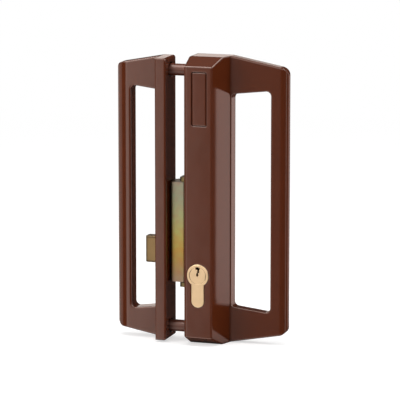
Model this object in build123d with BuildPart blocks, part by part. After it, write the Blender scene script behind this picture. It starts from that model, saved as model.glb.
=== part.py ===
"""Door pull lock: two D-shaped pull handles back to back on a door stile, with a cylinder lock.

Millimetres. X runs through the door, + towards the outer handle that carries the cylinder.
Y runs along the door's face, + towards the handles' flush back faces. Z is up.
The origin lies on the door's mid-plane, at the posts' depth, level with the outer handle's lower end.
"""

import os

from build123d import *

# Both handles
height = 218.6
door_gap = 15.6
back_y = 12.9
edge_round = 1.0
window_rim_round = 0.5
post_spacing = 196.2
post_diameter = 9.0
post_socket = 8.0
post_seat = 7.2
post_recess_radius = 5.7
post_recess_depth = 1.8
grub_radius = 2.0
grub_offset = 5.1
grub_socket_radius = 1.15
grub_socket_depth = 2.0

# Outer handle: a housing with a sloped side, and a flat grip plate behind it
housing_depth = 30.1
housing_front = 22.1
housing_side_run = 7.7
outer_reach = 74.5
outer_grip_thickness = 8.3
outer_end_drop = 8.4
bevel_rise = 6.3
bevel_run = 12.6
base_round = 2.0
outer_window_near = 31.6
outer_window_far = 61.4
outer_window_low = 27.7
outer_window_high = 189.9
outer_window_flare = 3.5
outer_window_lean = 1.2

# Inner handle: a narrow base block and a grip plate
inner_block_width = 8.65
inner_reach = 45.2
inner_grip_thickness = 12.6
inner_end_inset = 1.5
inner_end_drop = 6.8
inner_window_far = 32.3
inner_window_low = 25.3
inner_window_high = 191.3
inner_window_flare = 3.0
inner_back_round = 2.5
inner_base_round = 2.0
inner_front_round = 10.0

# Shared by the grip plates
grip_front_round = 6.0
grip_back_round = 2.0
grip_corner_round = 7.5
window_corner_round = 3.6

# Blank label recess in the housing's front face
label_width = 11.7
label_height = 40.7
label_left = 6.3
label_bottom = 167.7
label_depth = 0.15
label_groove = 0.6
label_groove_depth = 1.2
label_round = 1.2

# Profile cylinder, a round head over a narrow bib
cylinder_offset = 11.2
cylinder_z = 54.5
head_radius = 8.5
bib_width = 10.0
cylinder_height = 33.0
cylinder_proud = 0.5
cylinder_length = 28.5
bore_clearance = 0.15
plug_radius = 6.5
plug_clearance = 0.05
plug_tail_radius = 4.0
plug_tail_flat = 6.0
clip_width = 0.8
clip_radius = 5.2
clip_groove_radius = 3.4
clip_recess_radius = 6.0
clip_recess_depth = 1.6
keyway_top_width = 3.2
keyway_width = 1.5
keyway_step = 0.5
keyway_drop = 0.6
keyway_round = 0.16
keyway_depth = 17.5
pin_radius = 1.3
pin_count = 5
pin_pitch = 3.3
first_pin_setback = 4.0
driver_length = 5.0
chamber_cap_height = 1.8
cylinder_screw_drop = 19.6
cylinder_screw_radius = 2.5
cylinder_screw_head_radius = 4.2
cylinder_screw_head_height = 3.0

# Cam that the plug turns in its slot
slot_front = 1.6
slot_back = 7.4
cam_width = 5.0
cam_reach = 15.0
cam_hub_radius = 7.6
cam_tongue_width = 8.0

# Lock case between the handles
case_left = -6.8
case_front = -4.5
case_back = 11.0
case_bottom = 46.0
case_height = 76.6
sheet = 1.5
bracket_sheet = 3.2
bracket_reach = 7.7
bracket_gap = 0.6
bracket_end_round = 2.5
bracket_window_half = 10.4
case_window_half = 5.4
bracket_screw_z = (95.0, 111.0)
bracket_screw_radius = 2.0
bracket_screw_bite = 9.0
screw_head_radius = 3.6
screw_head_height = 2.4
cover_screw_z = (53.0, 117.4)
cover_screw_x = -1.1
cover_screw_radius = 1.5
cover_screw_head_radius = 2.8
cover_screw_length = 8.0
standoff_radius = 2.75

# Bolt, drawn thrown
bolt_tip = -27.9
bolt_throw = 20.0
bolt_bottom = 59.2
bolt_height = 20.3
bolt_front = -2.0
bolt_thickness = 9.0
bolt_head_end = -9.7
bolt_tail_end = 14.3
bolt_tail_thickness = 4.4
bolt_clearance = 0.3
bolt_tip_round = 2.2
bolt_edge_round = 0.6
cam_recess_start = -7.9
cam_recess_height = 10.9
cam_recess_round = 8.0
stud_radius = 1.5
stud_x = 1.4
stud_above_bolt_bottom = 15.6
stud_slot_floor = 4.0
detent_x = 1.4
detent_depth = 1.2
detent_front = 3.2
detent_back = 6.8
detent_gap = 0.2
leaf_thickness = 0.5
leaf_top = 103.0
leaf_bend = 86.0
rivet_z = 99.0
rivet_radius = 1.2
rivet_head_radius = 1.7

os.makedirs("parts", exist_ok=True)

outer_base = door_gap / 2
inner_base = -door_gap / 2
front_y = back_y - housing_depth
outer_grip_y = back_y - outer_grip_thickness
inner_grip_y = back_y - inner_grip_thickness
side_x = outer_base + housing_front + housing_side_run
outer_edge = outer_base + outer_reach
block_x = inner_base - inner_block_width
inner_edge = inner_base - inner_reach
inner_low = inner_end_inset
inner_high = height - inner_end_inset
post_low = (height - post_spacing) / 2
post_high = post_low + post_spacing
cylinder_x = outer_base + cylinder_offset
cylinder_front = front_y - cylinder_proud
cylinder_back = cylinder_front + cylinder_length
bib_bottom = cylinder_z + head_radius - cylinder_height
bolt_top = bolt_bottom + bolt_height
bolt_back = bolt_front + bolt_thickness
tail_front = (slot_front + slot_back - bolt_tail_thickness) / 2
tail_back = tail_front + bolt_tail_thickness
web_x = outer_base - bracket_sheet
case_top = case_bottom + case_height
stud_z = bolt_bottom + stud_above_bolt_bottom
cam_front = (slot_front + slot_back - cam_width) / 2
case_mid_y = (case_front + case_back) / 2
cover_y = case_back - sheet
slot_mid = (slot_front + slot_back) / 2
cylinder_screw_z = cylinder_z - cylinder_screw_drop
pin_y = [cylinder_front + first_pin_setback + i * pin_pitch for i in range(pin_count)]


def slab(low, high, mode=Mode.ADD):
    """A box between two opposite corners."""
    size = [b - a for a, b in zip(low, high)]
    centre = [(a + b) / 2 for a, b in zip(low, high)]
    with Locations(Vector(*centre)):
        return Box(*size, mode=mode)


def profile_cylinder_face(grow=0.0):
    """The standard cylinder outline on the XZ plane: round head, narrow bib with a round foot."""
    foot_radius = bib_width / 2 + grow
    foot_z = bib_bottom + bib_width / 2
    with Locations((cylinder_x, cylinder_z)):
        Circle(head_radius + grow)
    with Locations((cylinder_x, (cylinder_z + foot_z) / 2)):
        Rectangle(2 * foot_radius, cylinder_z - foot_z)
    with Locations((cylinder_x, foot_z)):
        Circle(foot_radius)


def finish(builder, name):
    """Name a finished sub-part and write its file."""
    builder.part.label = name
    export_step(builder.part, f"parts/{name}.step")


# Outer handle: plan swept up, then cut to the side outline
with BuildPart() as outer_handle:
    with BuildSketch() as outer_plan:
        with BuildLine():
            Polyline(
                (outer_base, front_y),
                (outer_base + housing_front, front_y),
                (side_x, outer_grip_y),
                (outer_edge, outer_grip_y),
                (outer_edge, back_y),
                (outer_base, back_y),
                close=True,
            )
        make_face()
        end_corners = outer_plan.vertices().sort_by_distance((outer_edge, back_y))
        fillet(end_corners[0], grip_back_round)
    extrude(amount=height)
    # side outline: the grip's ends drop towards its outer edge
    with BuildSketch(Plane.XZ.offset(-back_y)) as outer_outline:
        with BuildLine():
            Polyline(
                (outer_base, 0),
                (side_x, 0),
                (outer_edge, outer_end_drop),
                (outer_edge, height - outer_end_drop),
                (side_x, height),
                (outer_base, height),
                close=True,
            )
        make_face()
        fillet(outer_outline.vertices().group_by(Axis.X)[-1], grip_corner_round)
    extrude(amount=housing_depth, mode=Mode.INTERSECT)
    # soft front edge around the grip, then the full round along its outer edge
    grip_face = outer_handle.faces().filter_by(Plane.XZ).group_by(Axis.Y)[-2].sort_by(SortBy.AREA)[-1]
    fillet(grip_face.edges().group_by(Axis.X)[-1], edge_round)
    with BuildSketch() as outer_edge_cut:
        with Locations((outer_edge - grip_front_round, outer_grip_y + grip_front_round)):
            Rectangle(grip_front_round + 1, grip_front_round + 1, align=(Align.MIN, Align.MAX))
            Circle(grip_front_round, mode=Mode.SUBTRACT)
    extrude(amount=height, mode=Mode.SUBTRACT)
    # finger window, wider towards the outer edge; its near wall leans towards the front
    for depth_y, lean in ((back_y, 0), (outer_grip_y, outer_window_lean)):
        with BuildSketch(Plane.XZ.offset(-depth_y)) as outer_window:
            with BuildLine():
                Polyline(
                    (outer_base + outer_window_near - lean, outer_window_low),
                    (outer_base + outer_window_far, outer_window_low - outer_window_flare),
                    (outer_base + outer_window_far, outer_window_high + outer_window_flare),
                    (outer_base + outer_window_near - lean, outer_window_high),
                    close=True,
                )
            make_face()
            fillet(outer_window.vertices(), window_corner_round)
    loft(mode=Mode.SUBTRACT)
    # bevels at both ends of the front face, mitred by the sloped side
    for end, inward in ((height, -1), (0, 1)):
        with BuildSketch(Plane.YZ.offset(outer_base)):
            with BuildLine():
                Polyline(
                    (front_y, end),
                    (front_y, end + inward * bevel_rise),
                    (front_y + bevel_run, end),
                    close=True,
                )
            make_face()
        extrude(amount=outer_reach, mode=Mode.SUBTRACT)
    # rounded edges around the base face, then the softer cast edges
    fillet(outer_handle.faces().sort_by(Axis.X)[0].edges(), base_round)
    front_face = outer_handle.faces().sort_by(Axis.Y)[0]
    front_edges = front_face.edges().sort_by(Axis.X)[1:]
    mitre_corners = front_face.vertices().group_by(Axis.X)[-1]
    mitre_edges = [outer_handle.edges().filter_by(lambda e, v=v: v in e.vertices()) for v in mitre_corners]
    fillet(front_edges + mitre_edges[0] + mitre_edges[1], edge_round)
    back_face = outer_handle.faces().sort_by(Axis.Y)[-1]
    fillet([wire.edges() for wire in back_face.inner_wires()][0], edge_round)
    grip_face = outer_handle.faces().filter_by(Plane.XZ).group_by(Axis.Y)[-2].sort_by(SortBy.AREA)[-1]
    fillet([wire.edges() for wire in grip_face.inner_wires()][0], window_rim_round)
    # blank label recess
    with BuildSketch(Plane.XZ.offset(-front_y)):
        with Locations((outer_base + label_left + label_width / 2, label_bottom + label_height / 2)):
            RectangleRounded(label_width, label_height, label_round)
    extrude(amount=-label_depth, mode=Mode.SUBTRACT)
    with BuildSketch(Plane.XZ.offset(-front_y)):
        with Locations((outer_base + label_left + label_width / 2, label_bottom + label_height / 2)):
            RectangleRounded(label_width, label_height, label_round)
            RectangleRounded(
                label_width - 2 * label_groove,
                label_height - 2 * label_groove,
                label_round - label_groove,
                mode=Mode.SUBTRACT,
            )
    extrude(amount=-label_groove_depth, mode=Mode.SUBTRACT)
    # cylinder bore from the front face, and the round cavity that the cam sweeps
    with BuildSketch(Plane.XZ.offset(-front_y)):
        profile_cylinder_face(bore_clearance)
    extrude(amount=-(cylinder_back + bore_clearance - front_y), mode=Mode.SUBTRACT)
    with BuildSketch(Plane.XZ.offset(-slot_front)):
        with Locations((cylinder_x, cylinder_z)):
            Circle(cam_reach + bolt_clearance)
    extrude(amount=-(slot_back - slot_front), mode=Mode.SUBTRACT)
    # bolt pocket: deep for the thin tail, shallow for the thick head
    slab(
        (outer_base, tail_front - bolt_clearance, bolt_bottom - bolt_clearance),
        (bolt_tail_end + bolt_throw + bolt_clearance, tail_back + bolt_clearance, bolt_top + bolt_clearance),
        Mode.SUBTRACT,
    )
    slab(
        (outer_base, bolt_front - bolt_clearance, bolt_bottom - bolt_clearance),
        (bolt_head_end + bolt_throw + bolt_clearance, bolt_back + bolt_clearance, bolt_top + bolt_clearance),
        Mode.SUBTRACT,
    )
    # sockets for the posts, and the holes of the screws that enter from the gap
    base_face = Plane((outer_base, 0, 0), x_dir=(0, -1, 0), z_dir=(-1, 0, 0))
    with Locations(base_face):
        with Locations((0, post_low), (0, post_high)):
            Hole(post_diameter / 2, post_socket)
        with Locations((-slot_mid, cylinder_screw_z)):
            CounterBoreHole(
                cylinder_screw_radius,
                cylinder_screw_head_radius + 0.2,
                cylinder_screw_head_height,
                cylinder_offset,
            )
        with Locations(*[(-case_mid_y, z) for z in bracket_screw_z]):
            Hole(bracket_screw_radius, bracket_screw_bite)

finish(outer_handle, "outer_handle")

# Inner handle: narrow base block with a grip plate flush with its back
with BuildPart() as inner_handle:
    with BuildSketch() as inner_plan:
        with BuildLine():
            Polyline(
                (inner_base, -back_y),
                (block_x, -back_y),
                (block_x, inner_grip_y),
                (inner_edge, inner_grip_y),
                (inner_edge, back_y),
                (inner_base, back_y),
                close=True,
            )
        make_face()
    extrude(amount=height)
    with BuildSketch(Plane.XZ.offset(-back_y)) as inner_outline:
        with BuildLine():
            Polyline(
                (inner_base, inner_low),
                (block_x, inner_low),
                (inner_edge, inner_low + inner_end_drop),
                (inner_edge, inner_high - inner_end_drop),
                (block_x, inner_high),
                (inner_base, inner_high),
                close=True,
            )
        make_face()
        fillet(inner_outline.vertices().group_by(Axis.X)[0], grip_corner_round)
    extrude(amount=2 * back_y, mode=Mode.INTERSECT)
    grip_face = inner_handle.faces().filter_by(Plane.XZ).group_by(Axis.Y)[-2].sort_by(SortBy.AREA)[-1]
    fillet(grip_face.edges().group_by(Axis.X)[0], edge_round)
    with BuildSketch() as inner_edge_cut:
        with Locations((inner_edge + inner_front_round, inner_grip_y + inner_front_round)):
            Rectangle(inner_front_round + 1, inner_front_round + 1, align=(Align.MAX, Align.MAX))
            Circle(inner_front_round, mode=Mode.SUBTRACT)
    extrude(amount=height, mode=Mode.SUBTRACT)
    with BuildSketch(Plane.XZ.offset(-back_y)) as inner_window:
        with BuildLine():
            Polyline(
                (block_x, inner_window_low),
                (inner_base - inner_window_far, inner_window_low - inner_window_flare),
                (inner_base - inner_window_far, inner_window_high + inner_window_flare),
                (block_x, inner_window_high),
                close=True,
            )
        make_face()
        fillet(inner_window.vertices().group_by(Axis.X)[0], window_corner_round)
    extrude(amount=inner_grip_thickness, mode=Mode.SUBTRACT)
    back_face = inner_handle.faces().sort_by(Axis.Y)[-1]
    fillet(back_face.outer_wire().edges(), inner_back_round)
    inner_base_face = inner_handle.faces().sort_by(Axis.X)[-1]
    fillet(inner_base_face.edges().filter_by(Axis.Y), inner_base_round)
    front_face = inner_handle.faces().sort_by(Axis.Y)[0]
    fillet(front_face.edges(), edge_round)
    back_face = inner_handle.faces().sort_by(Axis.Y)[-1]
    fillet([wire.edges() for wire in back_face.inner_wires()][0], edge_round)
    grip_face = inner_handle.faces().filter_by(Plane.XZ).group_by(Axis.Y)[-2].sort_by(SortBy.AREA)[-1]
    rim_x = inner_base - inner_window_far
    fillet(grip_face.edges().filter_by(Axis.Z).filter_by(lambda e: abs(e.center().X - rim_x) < 0.1), edge_round)
    # bolt slot through the block
    slab(
        (block_x - 1, bolt_front - bolt_clearance, bolt_bottom - bolt_clearance),
        (inner_base + 1, bolt_back + bolt_clearance, bolt_top + bolt_clearance),
        Mode.SUBTRACT,
    )
    # post sockets with a wide mouth, and the grub screw holes behind them
    with Locations(Plane.YZ.offset(inner_base)):
        with Locations((0, post_low), (0, post_high)):
            CounterBoreHole(post_diameter / 2, post_recess_radius, post_recess_depth, post_seat)
    for post_z in (post_low, post_high):
        with BuildSketch(Plane.XZ.offset(-back_y)):
            with Locations((inner_base - grub_offset, post_z)):
                Circle(grub_radius)
        extrude(amount=back_y - post_diameter / 2 + 0.5, mode=Mode.SUBTRACT)

finish(inner_handle, "inner_handle")

# Posts between the two base faces, seated in both handles
with BuildPart() as upper_post:
    with BuildSketch(Plane.YZ.offset(inner_base - post_seat)):
        with Locations((0, post_high)):
            Circle(post_diameter / 2)
    extrude(amount=post_seat + door_gap + post_socket)
    chamfer(upper_post.edges().filter_by(GeomType.CIRCLE), 0.5)

finish(upper_post, "upper_post")

with BuildPart() as lower_post:
    with BuildSketch(Plane.YZ.offset(inner_base - post_seat)):
        with Locations((0, post_low)):
            Circle(post_diameter / 2)
    extrude(amount=post_seat + door_gap + post_socket)
    chamfer(lower_post.edges().filter_by(GeomType.CIRCLE), 0.5)

finish(lower_post, "lower_post")

# Grub screws that hold the inner handle on the posts
with BuildPart() as post_grub_screws:
    for post_z in (post_low, post_high):
        with BuildSketch(Plane.XZ.offset(-post_diameter / 2)):
            with Locations((inner_base - grub_offset, post_z)):
                Circle(grub_radius)
        extrude(amount=-(back_y - 1 - post_diameter / 2))
        with BuildSketch(Plane.XZ.offset(-(back_y - 1))):
            with Locations((inner_base - grub_offset, post_z)):
                RegularPolygon(grub_socket_radius, 6)
        extrude(amount=grub_socket_depth, mode=Mode.SUBTRACT)

finish(post_grub_screws, "post_grub_screws")

# Bracket that carries the lock case on the outer handle's base face
with BuildPart() as case_bracket:
    with BuildSketch(Plane.XZ.offset(-case_back)):
        bracket_low = case_bottom - bracket_gap - bracket_sheet
        bracket_high = case_top + bracket_gap + bracket_sheet
        with BuildLine():
            Polyline(
                (outer_base, bracket_low),
                (outer_base, bracket_high),
                (outer_base - bracket_reach, bracket_high),
                (outer_base - bracket_reach, bracket_high - bracket_sheet),
                (web_x, bracket_high - bracket_sheet),
                (web_x, bracket_low + bracket_sheet),
                (outer_base - bracket_reach, bracket_low + bracket_sheet),
                (outer_base - bracket_reach, bracket_low),
                close=True,
            )
        make_face()
    extrude(amount=case_back - case_front)
    fillet(case_bracket.edges().filter_by(Axis.Z).group_by(Axis.X)[0], bracket_end_round)
    # openings for the bolt and for the cam
    slab(
        (web_x, bolt_front - bolt_clearance, bolt_bottom - bolt_clearance),
        (outer_base, bolt_back + bolt_clearance, bolt_top + bolt_clearance),
        Mode.SUBTRACT,
    )
    slab(
        (web_x, slot_front, cylinder_z - bracket_window_half),
        (outer_base, slot_back, bolt_bottom),
        Mode.SUBTRACT,
    )
    with Locations(Plane.YZ.offset(outer_base)):
        with Locations(*[(case_mid_y, z) for z in bracket_screw_z]):
            Hole(bracket_screw_radius, bracket_sheet)

finish(case_bracket, "case_bracket")

# Lock case: a folded steel box, open at the back, with standoffs for the cover
with BuildPart() as lock_case:
    slab((case_left, case_front, case_bottom), (web_x, cover_y, case_top))
    fillet(lock_case.edges().filter_by(Axis.Z).group_by(Axis.Y)[0], sheet)
    slab(
        (case_left + sheet, case_front + sheet, case_bottom + sheet),
        (web_x - sheet, cover_y, case_top - sheet),
        Mode.SUBTRACT,
    )
    with BuildSketch(Plane.XZ.offset(-case_front)):
        with Locations(*[(cover_screw_x, z) for z in cover_screw_z]):
            Circle(standoff_radius)
    extrude(amount=-(cover_y - case_front))
    with BuildSketch(Plane.XZ.offset(-cover_y)):
        with Locations(*[(cover_screw_x, z) for z in cover_screw_z]):
            Circle(cover_screw_radius)
    extrude(amount=cover_screw_length - sheet, mode=Mode.SUBTRACT)
    # the bolt runs through both side walls, the cam dips through the right one
    slab(
        (case_left, bolt_front - bolt_clearance, bolt_bottom - bolt_clearance),
        (web_x, bolt_back + bolt_clearance, bolt_top + bolt_clearance),
        Mode.SUBTRACT,
    )
    slab(
        (web_x - sheet, slot_front, cylinder_z - case_window_half),
        (web_x, slot_back, bolt_bottom),
        Mode.SUBTRACT,
    )
    with Locations(Plane.YZ.offset(web_x)):
        with Locations(*[(case_mid_y, z) for z in bracket_screw_z]):
            Hole(bracket_screw_radius, sheet)
    with Locations(Plane.YZ.offset(case_left + sheet)):
        with Locations(((detent_front + detent_back) / 2, rivet_z)):
            Hole(rivet_radius, sheet)

finish(lock_case, "lock_case")

# Case cover on the far side
with BuildPart() as case_cover:
    slab((case_left, cover_y, case_bottom), (web_x, case_back, case_top))
    fillet(case_cover.edges().filter_by(Axis.Y), sheet)
    cover_back = Plane((0, case_back, 0), x_dir=(1, 0, 0), z_dir=(0, 1, 0))
    with Locations(cover_back):
        with Locations(*[(cover_screw_x, -z) for z in cover_screw_z]):
            CounterSinkHole(cover_screw_radius, cover_screw_head_radius, sheet, 90)
        with Locations((stud_x, -stud_z)):
            Hole(stud_radius, sheet)

finish(case_cover, "case_cover")

# Screws of the cover: countersunk heads, cross slots
with BuildPart() as case_cover_screws:
    for screw_z in cover_screw_z:
        with BuildSketch(Plane.XZ.offset(-(case_back - cover_screw_length))):
            with Locations((cover_screw_x, screw_z)):
                Circle(cover_screw_radius)
        extrude(amount=-cover_screw_length)
        cone_height = cover_screw_head_radius - cover_screw_radius
        with Locations(Location((cover_screw_x, case_back - cone_height / 2, screw_z), (-90, 0, 0))):
            Cone(cover_screw_radius, cover_screw_head_radius, cone_height)
        with BuildSketch(Plane.XZ.offset(-case_back)):
            with Locations((cover_screw_x, screw_z)):
                Rectangle(3.2, 0.7)
                Rectangle(0.7, 3.2)
        extrude(amount=1.0, mode=Mode.SUBTRACT)

finish(case_cover_screws, "case_cover_screws")

# Screws through case and bracket into the outer handle
with BuildPart() as case_fixing_screws:
    head_x = web_x - sheet
    for screw_z in bracket_screw_z:
        with BuildSketch(Plane.YZ.offset(head_x)):
            with Locations((case_mid_y, screw_z)):
                Circle(bracket_screw_radius)
        extrude(amount=outer_base + bracket_screw_bite - head_x)
        with BuildSketch(Plane.YZ.offset(head_x - screw_head_height)):
            with Locations((case_mid_y, screw_z)):
                Circle(screw_head_radius)
        extrude(amount=screw_head_height)
        with BuildSketch(Plane.YZ.offset(head_x - screw_head_height)):
            with Locations((case_mid_y, screw_z)):
                RegularPolygon(1.7, 6)
        extrude(amount=1.5, mode=Mode.SUBTRACT)
    fillet(case_fixing_screws.faces().filter_by(Axis.X).group_by(Axis.X)[0].edges().group_by(SortBy.LENGTH)[-1], 0.8)

finish(case_fixing_screws, "case_fixing_screws")

# Bolt: thick head, thin tail that is cut away over the cam's sweep
with BuildPart() as bolt:
    slab((bolt_tip, bolt_front, bolt_bottom), (bolt_head_end, bolt_back, bolt_top))
    tip_edges = bolt.faces().sort_by(Axis.X)[0].edges()
    fillet(tip_edges.filter_by(Axis.Z), bolt_tip_round)
    fillet(bolt.faces().sort_by(Axis.X)[0].edges().filter_by(Axis.Y), bolt_edge_round)
    with BuildSketch(Plane.XZ.offset(-tail_back)) as tail_outline:
        with BuildLine():
            Polyline(
                (bolt_head_end, bolt_bottom),
                (cam_recess_start, bolt_bottom),
                (cam_recess_start, bolt_bottom + cam_recess_height),
                (bolt_tail_end, bolt_bottom + cam_recess_height),
                (bolt_tail_end, bolt_top),
                (bolt_head_end, bolt_top),
                close=True,
            )
        make_face()
        recess_corner = (cam_recess_start, bolt_bottom + cam_recess_height, 0)
        fillet(tail_outline.vertices().sort_by_distance(recess_corner)[0], cam_recess_round)
    extrude(amount=bolt_tail_thickness)
    # blind slot for the stud, and the two notches under the detent spring
    slab(
        (stud_x - bolt_throw, stud_slot_floor, stud_z - stud_radius - 0.1),
        (stud_x, bolt_back, stud_z + stud_radius + 0.1),
        Mode.SUBTRACT,
    )
    for stop_x in (stud_x, stud_x - bolt_throw):
        with BuildSketch(Plane.XZ.offset(-bolt_back)):
            with Locations((stop_x, stud_z)):
                Circle(stud_radius + 0.1)
        extrude(amount=bolt_back - stud_slot_floor, mode=Mode.SUBTRACT)
        with BuildSketch(Plane.XZ.offset(-bolt_back)):
            with Locations((stop_x + detent_x - stud_x, bolt_top)):
                Circle(detent_depth)
        extrude(amount=bolt_back - detent_front, mode=Mode.SUBTRACT)

finish(bolt, "bolt")

# Stud riveted in the cover: it stops the bolt at both ends of its slot
with BuildPart() as bolt_stud:
    with BuildSketch(Plane.XZ.offset(-case_back)):
        with Locations((stud_x, stud_z)):
            Circle(stud_radius)
    extrude(amount=case_back - stud_slot_floor - 0.3)
    chamfer(bolt_stud.edges().filter_by(GeomType.CIRCLE), 0.3)

finish(bolt_stud, "bolt_stud")

# Detent spring: a leaf on the left wall whose bent foot rides on the bolt
with BuildPart() as detent_spring:
    wall_x = case_left + sheet + leaf_thickness / 2
    foot_z = bolt_top + detent_gap + leaf_thickness / 2
    with BuildSketch(Plane.XZ.offset(-detent_back)):
        with BuildLine():
            FilletPolyline(
                (wall_x, leaf_top),
                (wall_x, leaf_bend),
                (detent_x - 1.2, foot_z + 0.9),
                (detent_x, foot_z),
                (detent_x + 1.2, foot_z + 0.9),
                radius=0.6,
            )
        trace(line_width=leaf_thickness)
    extrude(amount=detent_back - detent_front)
    with Locations(Plane.YZ.offset(case_left + sheet + leaf_thickness)):
        with Locations(((detent_front + detent_back) / 2, rivet_z)):
            Hole(rivet_radius, leaf_thickness)

finish(detent_spring, "detent_spring")

with BuildPart() as spring_rivet:
    with BuildSketch(Plane.YZ.offset(case_left)):
        with Locations(((detent_front + detent_back) / 2, rivet_z)):
            Circle(rivet_radius)
    extrude(amount=sheet + leaf_thickness)
    with BuildSketch(Plane.YZ.offset(case_left + sheet + leaf_thickness)):
        with Locations(((detent_front + detent_back) / 2, rivet_z)):
            Circle(rivet_head_radius)
    extrude(amount=0.9)
    fillet(spring_rivet.edges().sort_by(Axis.X)[-1], 0.6)

finish(spring_rivet, "spring_rivet")

# Cylinder body: profile bar, bored for the plug, slotted for the cam, drilled for the pins
with BuildPart() as cylinder_body:
    with BuildSketch(Plane.XZ.offset(-cylinder_front)):
        profile_cylinder_face()
    extrude(amount=-cylinder_length)
    front_rim = cylinder_body.faces().sort_by(Axis.Y)[0].outer_wire().edges()
    fillet(front_rim, 0.4)
    with BuildSketch(Plane.XZ.offset(-cylinder_front)):
        with Locations((cylinder_x, cylinder_z)):
            Circle(plug_radius + plug_clearance)
    extrude(amount=-(slot_front - cylinder_front), mode=Mode.SUBTRACT)
    with BuildSketch(Plane.XZ.offset(-slot_front)):
        with Locations((cylinder_x, cylinder_z)):
            Circle(cam_reach + bolt_clearance)
    extrude(amount=-(slot_back - slot_front), mode=Mode.SUBTRACT)
    with BuildSketch(Plane.XZ.offset(-slot_back)):
        with Locations((cylinder_x, cylinder_z)):
            Circle(plug_tail_radius + plug_clearance)
    extrude(amount=-(cylinder_back - slot_back), mode=Mode.SUBTRACT)
    with BuildSketch(Plane.XZ.offset(-cylinder_back)):
        with Locations((cylinder_x, cylinder_z)):
            Circle(clip_recess_radius)
    extrude(amount=clip_recess_depth, mode=Mode.SUBTRACT)
    with BuildSketch(Plane.XY.offset(bib_bottom)):
        with Locations(*[(cylinder_x, y) for y in pin_y]):
            Circle(pin_radius + plug_clearance)
    extrude(amount=cylinder_z - bib_bottom, mode=Mode.SUBTRACT)
    with BuildSketch(Plane.YZ.offset(cylinder_x)):
        with Locations((slot_mid, cylinder_screw_z)):
            Circle(cylinder_screw_radius)
    extrude(amount=bib_width / 2, both=True, mode=Mode.SUBTRACT)

finish(cylinder_body, "cylinder_body")

# Plug: turned body with a flatted tail, broached keyway and pin holes
with BuildPart() as cylinder_plug:
    plug_end = slot_front - 0.2
    tail_end = cylinder_back - 0.2
    groove_front = cylinder_back - clip_recess_depth + 0.2
    with BuildSketch(Plane.XZ.offset(-cylinder_front)):
        with Locations((cylinder_x, cylinder_z)):
            Circle(plug_radius)
    extrude(amount=-(plug_end - cylinder_front))
    chamfer(cylinder_plug.edges().group_by(Axis.Y)[0], 0.3)
    with BuildSketch(Plane.XZ.offset(-plug_end)):
        with Locations((cylinder_x, cylinder_z)):
            Circle(plug_tail_radius)
    extrude(amount=-(tail_end - plug_end))
    with BuildSketch(Plane.XZ.offset(-cam_front)) as tail_flats:
        with Locations((cylinder_x, cylinder_z)):
            Circle(plug_tail_radius)
            Rectangle(plug_tail_flat, 4 * plug_tail_radius, mode=Mode.SUBTRACT)
    extrude(amount=-cam_width, mode=Mode.SUBTRACT)
    with BuildSketch(Plane.XZ.offset(-groove_front)):
        with Locations((cylinder_x, cylinder_z)):
            Circle(plug_tail_radius)
            Circle(clip_groove_radius, mode=Mode.SUBTRACT)
    extrude(amount=-clip_width, mode=Mode.SUBTRACT)
    # keyway, stepped to either side and open at the top
    with BuildSketch(Plane.XZ.offset(-cylinder_front)) as keyway:
        keyway_low = cylinder_z - keyway_drop
        keyway_high = cylinder_z + plug_radius + 0.5
        step_height = (keyway_high - keyway_low) / 3
        with Locations((cylinder_x, keyway_high - step_height / 2)):
            Rectangle(keyway_top_width, step_height)
        with Locations((cylinder_x + keyway_step, keyway_high - 1.5 * step_height)):
            Rectangle(keyway_width, step_height)
        with Locations((cylinder_x - keyway_step / 2, keyway_low + step_height / 2)):
            Rectangle(keyway_width, step_height)
        fillet(keyway.vertices(), keyway_round)
    extrude(amount=-keyway_depth, mode=Mode.SUBTRACT)
    with BuildSketch(Plane.XY.offset(cylinder_z - plug_radius)):
        with Locations(*[(cylinder_x, y) for y in pin_y]):
            Circle(pin_radius + plug_clearance)
    extrude(amount=plug_radius - keyway_drop, mode=Mode.SUBTRACT)

finish(cylinder_plug, "cylinder_plug")

# Cam: hub on the plug's flats with one tongue
with BuildPart() as cylinder_cam:
    with BuildSketch(Plane.XZ.offset(-cam_front)):
        with Locations((cylinder_x, cylinder_z)):
            Circle(cam_reach)
        with Locations((cylinder_x, cylinder_z - cam_reach / 2)):
            Rectangle(cam_tongue_width, cam_reach, mode=Mode.INTERSECT)
        with Locations((cylinder_x, cylinder_z)):
            Circle(cam_hub_radius)
    extrude(amount=-cam_width)
    with BuildSketch(Plane.XZ.offset(-cam_front)):
        with Locations((cylinder_x, cylinder_z)):
            Circle(plug_tail_radius)
            Rectangle(plug_tail_flat, 2 * plug_tail_radius, mode=Mode.INTERSECT)
    extrude(amount=-cam_width, mode=Mode.SUBTRACT)
    fillet(cylinder_cam.edges().filter_by(Axis.Y).group_by(Axis.Z)[0], 1.0)

finish(cylinder_cam, "cylinder_cam")

# Open ring in the groove at the plug's end
with BuildPart() as plug_clip:
    with BuildSketch(Plane.XZ.offset(-groove_front)):
        with Locations((cylinder_x, cylinder_z)):
            Circle(clip_radius)
            Circle(clip_groove_radius, mode=Mode.SUBTRACT)
        with Locations((cylinder_x, cylinder_z + clip_radius)):
            Rectangle(2.4, clip_radius, mode=Mode.SUBTRACT)
    extrude(amount=-clip_width)

finish(plug_clip, "plug_clip")

# Pin stacks, as they stand with the key in the plug
with BuildPart() as key_pins:
    for i, y in enumerate(pin_y):
        with BuildSketch(Plane.XY.offset(cylinder_z - plug_radius + 0.15)):
            with Locations((cylinder_x, y)):
                Circle(pin_radius)
        extrude(amount=3.8 + 0.4 * (3 * i % pin_count))
    chamfer(key_pins.edges().filter_by(GeomType.CIRCLE), 0.3)

finish(key_pins, "key_pins")

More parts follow.
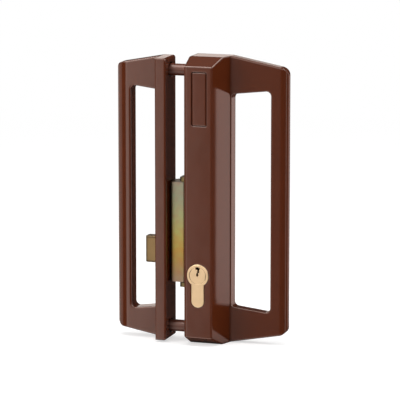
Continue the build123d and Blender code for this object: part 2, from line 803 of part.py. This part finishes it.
with BuildPart() as driver_pins:
    driver_top = cylinder_z - plug_radius - 0.1
    with BuildSketch(Plane.XY.offset(driver_top - driver_length)):
        with Locations(*[(cylinder_x, y) for y in pin_y]):
            Circle(pin_radius)
    extrude(amount=driver_length)
    chamfer(driver_pins.edges().filter_by(GeomType.CIRCLE), 0.2)

finish(driver_pins, "driver_pins")

with BuildPart() as pin_springs:
    spring_bottom = bib_bottom + 0.2 + chamber_cap_height
    with BuildSketch(Plane.XY.offset(spring_bottom)):
        with Locations(*[(cylinder_x, y) for y in pin_y]):
            Circle(pin_radius - 0.1)
            Circle(pin_radius - 0.4, mode=Mode.SUBTRACT)
    extrude(amount=driver_top - driver_length - spring_bottom)

finish(pin_springs, "pin_springs")

with BuildPart() as chamber_caps:
    with BuildSketch(Plane.XY.offset(bib_bottom + 0.2)):
        with Locations(*[(cylinder_x, y) for y in pin_y]):
            Circle(pin_radius + plug_clearance)
    extrude(amount=chamber_cap_height)

finish(chamber_caps, "chamber_caps")

# Fixing screw of the cylinder, from the gap into the bib
with BuildPart() as cylinder_screw:
    head_seat = outer_base + cylinder_screw_head_height
    with BuildSketch(Plane.YZ.offset(outer_base + 0.1)):
        with Locations((slot_mid, cylinder_screw_z)):
            Circle(cylinder_screw_head_radius)
    extrude(amount=cylinder_screw_head_height - 0.1)
    fillet(cylinder_screw.edges().sort_by(Axis.X)[0], 0.8)
    with BuildSketch(Plane.YZ.offset(head_seat)):
        with Locations((slot_mid, cylinder_screw_z)):
            Circle(cylinder_screw_radius)
    extrude(amount=cylinder_x + 3 - head_seat)
    with BuildSketch(Plane.YZ.offset(outer_base + 0.1)):
        with Locations((slot_mid, cylinder_screw_z)):
            RegularPolygon(2.0, 6)
    extrude(amount=2.0, mode=Mode.SUBTRACT)

finish(cylinder_screw, "cylinder_screw")
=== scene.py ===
import math

import bmesh
import bpy
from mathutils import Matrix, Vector

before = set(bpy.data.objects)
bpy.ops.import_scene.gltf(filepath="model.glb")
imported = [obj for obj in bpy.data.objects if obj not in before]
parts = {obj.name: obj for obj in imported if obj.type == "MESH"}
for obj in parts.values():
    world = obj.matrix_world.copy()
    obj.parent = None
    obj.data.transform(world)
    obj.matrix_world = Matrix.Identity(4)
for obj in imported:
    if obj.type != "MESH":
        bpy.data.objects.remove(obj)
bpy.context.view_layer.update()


# Outer and inner handle
# Aluminium die castings, each a base block and a D grip in one piece. They are degreased,
# sprayed with chocolate brown gloss enamel and baked.


def srgb(hex_colour):
    """An sRGB hex value as a linear colour."""
    channels = [int(hex_colour[i : i + 2], 16) / 255 for i in (1, 3, 5)]
    linear = [c / 12.92 if c <= 0.04045 else ((c + 0.055) / 1.055) ** 2.4 for c in channels]
    return linear + [1.0]


def add_node(owner, kind, inputs=None, **settings):
    """Adds a shader node, sets its properties, and fills or links its inputs."""
    made = owner.node_tree.nodes.new("ShaderNode" + kind)
    for name, value in settings.items():
        setattr(made, name, value)
    for socket, value in (inputs or {}).items():
        if isinstance(value, bpy.types.NodeSocket):
            owner.node_tree.links.new(value, made.inputs[socket])
        else:
            made.inputs[socket].default_value = srgb(value) if isinstance(value, str) else value
    return made


def new_material(name):
    """An empty node material, with the object coordinates that every pattern uses."""
    material = bpy.data.materials.new(name)
    material.use_nodes = True
    material.node_tree.nodes.clear()
    return material, add_node(material, "TexCoord").outputs["Object"]


def cloudy_shades(material, place, cell_mm, first, second, detail=2.0):
    """A finish that drifts between two shades, in clouds of the given size."""
    cells = {"Vector": place, "Scale": 1000 / cell_mm, "Detail": detail}
    cloud = add_node(material, "TexNoise", cells).outputs["Fac"]
    return add_node(material, "Mix", {0: cloud, 6: first, 7: second}, data_type="RGBA").outputs[2]


def surface_grain(material, place, cell_mm, depth_mm, detail=2.0, under=None):
    """The normals of an uneven coat, which may lie over the normals of a coarser one."""
    cells = {"Vector": place, "Scale": 1000 / cell_mm, "Detail": detail}
    height = add_node(material, "TexNoise", cells).outputs["Fac"]
    relief = {"Height": height, "Distance": depth_mm / 1000, "Strength": 1.0}
    if under is not None:
        relief["Normal"] = under
    return add_node(material, "Bump", relief).outputs["Normal"]


def painted_gap_shade(material, colour, dark, reach_mm):
    """The colour with painted shade in gaps narrower than the reach, and how open each spot is.
    """
    reach = {"Distance": reach_mm / 1000}
    open_share = add_node(material, "AmbientOcclusion", reach).outputs["AO"]
    shades = {0: open_share, 6: dark, 7: colour}
    return add_node(material, "Mix", shades, data_type="RGBA").outputs[2], open_share


def close_coat(material, colour, roughness, normal=None, **more):
    """Closes a material with its one visible surface."""
    inputs = {"Base Color": colour, "Roughness": roughness}
    if normal is not None:
        inputs["Normal"] = normal
    inputs.update(more)
    surface = add_node(material, "BsdfPrincipled", inputs).outputs[0]
    add_node(material, "OutputMaterial", {"Surface": surface})


def dress(material, *names):
    """Gives CAD nodes their material."""
    for name in names:
        mesh = parts[name].data
        mesh.materials.clear()
        mesh.materials.append(material)


# Gloss enamel looks wet and smooth, with slow waves and an orange peel that is drawn
# coarser than the real one so that it shows. Its edges are rounded by the paint's own
# thickness. Narrow gaps get painted shade: their colour is darkened and their shine dimmed.
EDGE_ROUND_MM, GAP_REACH_MM, FULL_SHINE = 1.1, 3.0, 0.5
enamel, place = new_material("baked_gloss_enamel")
brown = cloudy_shades(enamel, place, 26.0, "#582713", "#4F220E")
edges = add_node(enamel, "Bevel", {"Radius": EDGE_ROUND_MM / 1000}, samples=12).outputs["Normal"]
waves = surface_grain(enamel, place, 16.0, 0.03, 1.0, edges)
peel = surface_grain(enamel, place, 2.4, 0.002, 1.0, waves)
brown, open_share = painted_gap_shade(enamel, brown, "#1E0A05", GAP_REACH_MM)
shine = add_node(enamel, "Math", {0: open_share, 1: FULL_SHINE}, operation="MULTIPLY").outputs[0]
close_coat(enamel, brown, 0.1, peel, **{"IOR": 1.6, "Specular IOR Level": shine})
dress(enamel, "outer_handle", "inner_handle")


# Upper and lower post
# Turned steel rods, seated in both castings and sprayed before they are fitted. Their
# thinner coat is duller, and painted shade darkens them where they enter the castings.
SEAT_REACH_MM = 6.0
thin_enamel, place = new_material("satin_enamel_on_posts")
brown = cloudy_shades(thin_enamel, place, 8.0, "#5A2C1A", "#502617")
brown, _ = painted_gap_shade(thin_enamel, brown, "#0E0402", SEAT_REACH_MM)
close_coat(thin_enamel, brown, 0.34, surface_grain(thin_enamel, place, 1.5, 0.003, 1.0))
dress(thin_enamel, "upper_post", "lower_post")


# Lock case with its cover and screws
# Folded steel sheet, zinc plated and passivated yellow, and screwed through its bracket to
# the outer handle.

# The passive film is thin enough to show interference colours: a satin metal that shifts
# from pink-grey over gold and straw to grey-green up the case, with pink clouds in it.
FILM = (
    (0.046, "#9A928E"),
    (0.054, "#9F9075"),
    (0.063, "#A89866"),
    (0.071, "#AFA062"),
    (0.080, "#ABAE72"),
    (0.092, "#A4AF88"),
    (0.102, "#9DAC94"),
    (0.112, "#95A498"),
    (0.123, "#999C98"),
)
DRIFT = 0.012  # how far, in metres, the clouds move the film's bands
CLOUD_MM, FOLD_REACH_MM = 9.0, 0.8
zinc, place = new_material("yellow_passivated_zinc")
level = add_node(zinc, "SeparateXYZ", {"Vector": place}).outputs["Z"]
cells = {"Vector": place, "Scale": 1000 / CLOUD_MM, "Detail": 3.0}
cloud = add_node(zinc, "TexNoise", cells).outputs["Fac"]
drifting = {0: cloud, 1: DRIFT, 2: level}
drift = add_node(zinc, "Math", drifting, operation="MULTIPLY_ADD").outputs[0]
low, high = FILM[0][0], FILM[-1][0]
bands = {"Value": drift, "From Min": low + DRIFT / 2, "From Max": high + DRIFT / 2}
film = add_node(zinc, "ValToRGB", {"Fac": add_node(zinc, "MapRange", bands).outputs["Result"]})
ramp = film.color_ramp
while len(ramp.elements) < len(FILM):
    ramp.elements.new(0.5)
for stop, (height, colour) in zip(ramp.elements, FILM):
    stop.position = (height - low) / (high - low)
    stop.color = srgb(colour)
pink_clouds = cloudy_shades(zinc, place, 5.0, "#E8FFE4", "#FFC4BC", 3.0)
layers = {0: 1.0, 6: film.outputs["Color"], 7: pink_clouds}
tinted = add_node(zinc, "Mix", layers, data_type="RGBA", blend_type="MULTIPLY").outputs[2]
# Painted shade darkens the film in folds and gaps narrower than the fold reach.
tinted, _ = painted_gap_shade(zinc, tinted, "#3A3428", FOLD_REACH_MM)
close_coat(zinc, tinted, 0.4, surface_grain(zinc, place, 0.8, 0.004), Metallic=1.0)
dress(
    zinc,
    "lock_case",
    "case_cover",
    "case_cover_screws",
    "case_fixing_screws",
    "cylinder_screw",
)


# Case bracket
# Thicker folded sheet from the same bath, with a duller olive film. Its darker colour is painted
# shade, since the bracket sits in the shade behind the case.

olive_zinc, place = new_material("olive_passivated_zinc")
olive = cloudy_shades(olive_zinc, place, 4.0, "#6E6A4E", "#7A6C4A", 3.0)
close_coat(olive_zinc, olive, 0.42, surface_grain(olive_zinc, place, 0.8, 0.004), Metallic=1.0)
dress(olive_zinc, "case_bracket")


# Bolt
# Sawn from drawn flat steel, its edges broken, and plated in the same bath as the case.

# The heavy piece took a brown film, with faint drawn lines along it. The film is darkened
# along the edges as painted shade; the edges are found where rounded normals leave the true
# ones, by the cosine of the angle between them.
EDGE_SHADE_WIDTH_MM = 3.6
EDGE_SHADE_STARTS, EDGE_SHADE_FULL = 0.995, 0.93
bolt_film, place = new_material("passivated_bolt_steel")
olive_brown = cloudy_shades(bolt_film, place, 6.0, "#8F7C58", "#7F6D4E", 3.0)
true_normal = add_node(bolt_film, "NewGeometry").outputs["Normal"]
reach = {"Radius": EDGE_SHADE_WIDTH_MM / 1000}
rounded = add_node(bolt_film, "Bevel", reach, samples=12).outputs["Normal"]
normals = {0: true_normal, 1: rounded}
turned = add_node(bolt_film, "VectorMath", normals, operation="DOT_PRODUCT").outputs["Value"]
edge_shade_range = {"Value": turned, "From Min": EDGE_SHADE_STARTS, "From Max": EDGE_SHADE_FULL}
edge_shade = add_node(bolt_film, "MapRange", edge_shade_range).outputs["Result"]
film_and_edge_shade = {0: edge_shade, 6: olive_brown, 7: "#3E3A34"}
olive_brown = add_node(bolt_film, "Mix", film_and_edge_shade, data_type="RGBA").outputs[2]
stretched = {"Vector": place, "Scale": (0.15, 1.0, 1.0)}
along_bolt = add_node(bolt_film, "Mapping", stretched).outputs[0]
drawn_lines = surface_grain(bolt_film, along_bolt, 0.6, 0.004)
close_coat(bolt_film, olive_brown, 0.42, drawn_lines, Metallic=1.0)
dress(bolt_film, "bolt")


# Profile cylinder
# Body and plug from drawn brass bar, turned, drilled and broached, with brass key pins, and
# caps pressed into the chambers.

# Satin brass gives a pale, even sheen. Its fine grain is drawn coarser than the real one
# so that it shows, and painted shade in the running gap round the plug makes a thin brown ring.
RING_REACH_MM, BROKEN_EDGE_MM = 0.9, 0.5
brass, place = new_material("satin_brass")
pale_gold = cloudy_shades(brass, place, 5.0, "#E1CBA7", "#D4BF9A")
pale_gold, _ = painted_gap_shade(brass, pale_gold, "#5A3A16", RING_REACH_MM)
edges = add_node(brass, "Bevel", {"Radius": BROKEN_EDGE_MM / 1000}, samples=12).outputs["Normal"]
satin = surface_grain(brass, place, 0.35, 0.002, under=edges)
close_coat(brass, pale_gold, 0.34, satin, Metallic=1.0)
dress(brass, "cylinder_body", "cylinder_plug", "chamber_caps", "key_pins")


# Small steel pieces
# Spring wire and strip, turned pins and rivets, and a hardened cam, all left bright. The
# grub screws are blackened, and sit in the inner handle's back.

# Bright steel is a cool grey with a soft sheen.
bright_steel, place = new_material("bright_steel")
grey = cloudy_shades(bright_steel, place, 3.0, "#BDBDBA", "#A9A9A8")
close_coat(bright_steel, grey, 0.3, Metallic=1.0)
dress(
    bright_steel,
    "cylinder_cam",
    "plug_clip",
    "driver_pins",
    "pin_springs",
    "bolt_stud",
    "detent_spring",
    "spring_rivet",
)

# Blackened steel is nearly black, and duller.
black_steel, place = new_material("blackened_steel")
close_coat(black_steel, cloudy_shades(black_steel, place, 1.5, "#2A2826", "#1E1D1C"), 0.45)
dress(black_steel, "post_grub_screws")


# Studio
# A sheet of white paper, even soft light, and a surround of pale cards that only the glossy
# surfaces see. The cards' edges draw the light and dark bands on the enamel.

FLOOR_HALF = 6.0
floor_mesh = bpy.data.meshes.new("studio_floor")
floor_sheet = bmesh.new()
bmesh.ops.create_grid(floor_sheet, x_segments=1, y_segments=1, size=FLOOR_HALF)
floor_sheet.to_mesh(floor_mesh)
floor_sheet.free()
floor = bpy.data.objects.new("studio_floor", floor_mesh)
bpy.context.scene.collection.objects.link(floor)
floor.visible_glossy = False

# Near the object the camera sees mostly matt paper, which keeps its shadow; further out
# the paper fades to the plain white of the background, between two distances in metres.
FADE_STARTS, FADE_ENDS = 0.3, 1.2
# Towards the object the glow is dimmed as well: painted shade round the object, under its real
# shadow.
MATT_SHARE, GLOW_SHADE_DIMMING = 0.7, -0.6
paper, place = new_material("white_paper")
distance = add_node(paper, "VectorMath", {0: place}, operation="LENGTH").outputs["Value"]
fading = {"From Min": FADE_STARTS, "From Max": FADE_ENDS, "To Min": MATT_SHARE, "To Max": 0.0}
shaded = add_node(paper, "MapRange", {"Value": distance, **fading}).outputs["Result"]
lifted = add_node(paper, "Math", {0: 1.0, 1: shaded}, operation="SUBTRACT").outputs[0]
dimming = {0: shaded, 1: GLOW_SHADE_DIMMING, 2: 1.0}
white = add_node(paper, "Math", dimming, operation="MULTIPLY_ADD").outputs[0]
strength = add_node(paper, "Math", {0: white, 1: lifted}, operation="DIVIDE").outputs[0]
seen = add_node(paper, "LightPath").outputs["Is Camera Ray"]
share = add_node(paper, "Math", {0: seen, 1: lifted}, operation="MULTIPLY").outputs[0]
matt = add_node(paper, "BsdfDiffuse", {"Color": "#EDEDED"}).outputs[0]
glow = add_node(paper, "Emission", {"Color": "#FFFFFF", "Strength": strength}).outputs[0]
both = add_node(paper, "MixShader", {0: share, 1: matt, 2: glow}).outputs[0]
add_node(paper, "OutputMaterial", {"Surface": both})
floor_mesh.materials.append(paper)

# Directions in the surround: azimuth 0 is the front, positive towards +X, in degrees.
world = bpy.data.worlds.new("studio")
bpy.context.scene.world = world
world.use_nodes = True
world.node_tree.nodes.clear()
direction = add_node(world, "TexCoord").outputs["Generated"]
towards = add_node(world, "SeparateXYZ", {"Vector": direction}).outputs
front = add_node(world, "Math", {0: towards["Y"], 1: -1.0}, operation="MULTIPLY").outputs[0]
turn = add_node(world, "Math", {0: towards["X"], 1: front}, operation="ARCTAN2").outputs[0]
azimuth = add_node(world, "Math", {0: turn}, operation="DEGREES").outputs[0]
rise = add_node(world, "Math", {0: towards["Z"]}, operation="ARCSINE").outputs[0]
elevation = add_node(world, "Math", {0: rise}, operation="DEGREES").outputs[0]


def card(azimuths, elevations, brightness, side_blurs=(6.0, 8.0), end_blurs=(8.0, 8.0)):
    """The light of one card between two azimuths and two elevations, with blurred edges."""
    spans = []
    sides, ends = (azimuth, azimuths, side_blurs), (elevation, elevations, end_blurs)
    for angle, limits, blurs in (sides, ends):
        enters, leaves = (
            add_node(
                world,
                "MapRange",
                {"Value": angle, "From Min": limit - blur / 2, "From Max": limit + blur / 2},
                interpolation_type="SMOOTHSTEP",
            ).outputs["Result"]
            for limit, blur in zip(limits, blurs)
        )
        within = add_node(world, "Math", {0: enters, 1: leaves}, operation="SUBTRACT")
        spans.append(within.outputs[0])
    inside = add_node(world, "Math", {0: spans[0], 1: spans[1]}, operation="MULTIPLY").outputs[0]
    return add_node(world, "Math", {0: inside, 1: brightness}, operation="MULTIPLY").outputs[0]


ROOM_LIGHT = 0.04
pale_cards = (
    # the left handle's front faces, up to the dark line beside the left grip's outer round
    card((-32.0, -18.8), (-26.0, 8.0), 1.45, (5.0, 0.9)),
    # a faint sheen on the front faces of the housing and the right grip
    card((-24.0, -6.0), (-26.0, 8.0), 0.12, (4.0, 6.0)),
    # the lines along the housing's right edge and the right grip's outer edge
    card((69.0, 79.0), (-26.0, 8.0), 1.2),
    # the left grip's outer round
    card((-170.0, -70.0), (-28.0, -3.0), 0.5, (10.0, 10.0)),
    # edges that lean up or down from the front
    card((-80.0, 70.0), (4.0, 60.0), 1.9, (14.0, 14.0)),
    card((-80.0, 70.0), (-65.0, -22.0), 1.6, (14.0, 14.0)),
    # the mitred edge of the housing, and the top corners of both grips
    card((84.0, 138.0), (28.0, 66.0), 6.0),
    card((-124.0, -84.0), (12.0, 44.0), 4.2),
    # the front edges of the tops
    card((-110.0, -20.0), (50.0, 82.0), 7.0),
    # the housing's upper bevel, and the flat tops, which mirror a strip far behind
    card((-165.0, -125.0), (48.0, 75.0), 0.2),
    card((-185.0, -140.0), (7.0, 13.0), 1.5, (6.0, 8.0), (4.0, 3.0)),
)
pale = ROOM_LIGHT
for light in pale_cards:
    pale = add_node(world, "Math", {0: pale, 1: light}, operation="ADD").outputs[0]

# A warm wall on the right fills the housing's leaning side, and its foot cuts the sheen off
# in a slanted line low on that side.
warm_cards = (
    card((112.0, 152.0), (-12.8, 30.0), 0.7, (8.0, 6.0), (0.8, 8.0)),
    card((112.0, 152.0), (-26.0, 30.0), 0.33, (8.0, 6.0)),
)
warm = add_node(world, "Math", dict(enumerate(warm_cards)), operation="ADD").outputs[0]
WARM_TINT = (1.5, 1.1, 1.0)
PALE_TINT = (1.14, 1.0, 0.92)
channels = {}
for axis, warmth, paleness in zip("XYZ", WARM_TINT, PALE_TINT):
    pale_part = add_node(world, "Math", {0: pale, 1: paleness}, operation="MULTIPLY").outputs[0]
    mixing = {0: warm, 1: warmth, 2: pale_part}
    channels[axis] = add_node(world, "Math", mixing, operation="MULTIPLY_ADD").outputs[0]
card_light = add_node(world, "CombineXYZ", channels).outputs[0]

# Reflections see the cards, the camera sees white, and everything else gets soft light.
SOFT_LIGHT = 0.45
rays = add_node(world, "LightPath").outputs
cards = add_node(world, "Background", {"Color": card_light, "Strength": 1.0}).outputs[0]
soft_sky = add_node(world, "Background", {"Color": "#FFFFFF", "Strength": SOFT_LIGHT}).outputs[0]
backdrop = add_node(world, "Background", {"Color": "#FFFFFF", "Strength": 1.0}).outputs[0]
mirrored = {0: rays["Is Glossy Ray"], 1: soft_sky, 2: cards}
lighting = add_node(world, "MixShader", mirrored).outputs[0]
viewed = {0: rays["Is Camera Ray"], 1: lighting, 2: backdrop}
sky = add_node(world, "MixShader", viewed).outputs[0]
add_node(world, "OutputWorld", {"Surface": sky})


def soft_box(name, position, aim, size, power):
    """An area lamp that faces a point of the object, and shows in no reflection."""
    lamp = bpy.data.lights.new(name, "AREA")
    lamp.shape = "RECTANGLE"
    lamp.size, lamp.size_y = size
    lamp.energy = power
    holder = bpy.data.objects.new(name, lamp)
    bpy.context.scene.collection.objects.link(holder)
    holder.location = position
    holder.rotation_euler = (Vector(aim) - Vector(position)).to_track_quat("-Z", "Y").to_euler()
    holder.visible_glossy = False


CENTRE = (0.015, 0.0, 0.108)
soft_box("left_front_box", (-0.5, -0.55, 0.35), CENTRE, (0.35, 0.5), 2.5)
soft_box("right_box", (1.1, 0.15, 0.85), CENTRE, (0.5, 0.7), 4.0)
soft_box("top_box", (0.0, -0.1, 1.3), CENTRE, (0.9, 0.7), 9.0)


# Camera
# It stands 2.1 m away, 18 degrees to the right and 10 degrees up, with a long lens.
AZIMUTH, ELEVATION = math.radians(18.13), math.radians(10.3)
DISTANCE = 2.104
TARGET = Vector((0.01518, 0.0, 0.10907))
FOCAL_PX = 2794
FRAME_PX = 400
SENSOR_MM = 36.0
back = Vector(
    (
        math.sin(AZIMUTH) * math.cos(ELEVATION),
        -math.cos(AZIMUTH) * math.cos(ELEVATION),
        math.sin(ELEVATION),
    )
)
lens = bpy.data.cameras.new("camera")
lens.sensor_width = SENSOR_MM
lens.lens = SENSOR_MM * FOCAL_PX / FRAME_PX
lens.clip_start, lens.clip_end = 0.1, 30.0
camera = bpy.data.objects.new("camera", lens)
bpy.context.scene.collection.objects.link(camera)
camera.location = TARGET + back * DISTANCE
camera.rotation_euler = (-back).to_track_quat("-Z", "Y").to_euler()
bpy.context.scene.camera = camera
bpy.context.scene.view_settings.view_transform = "Standard"
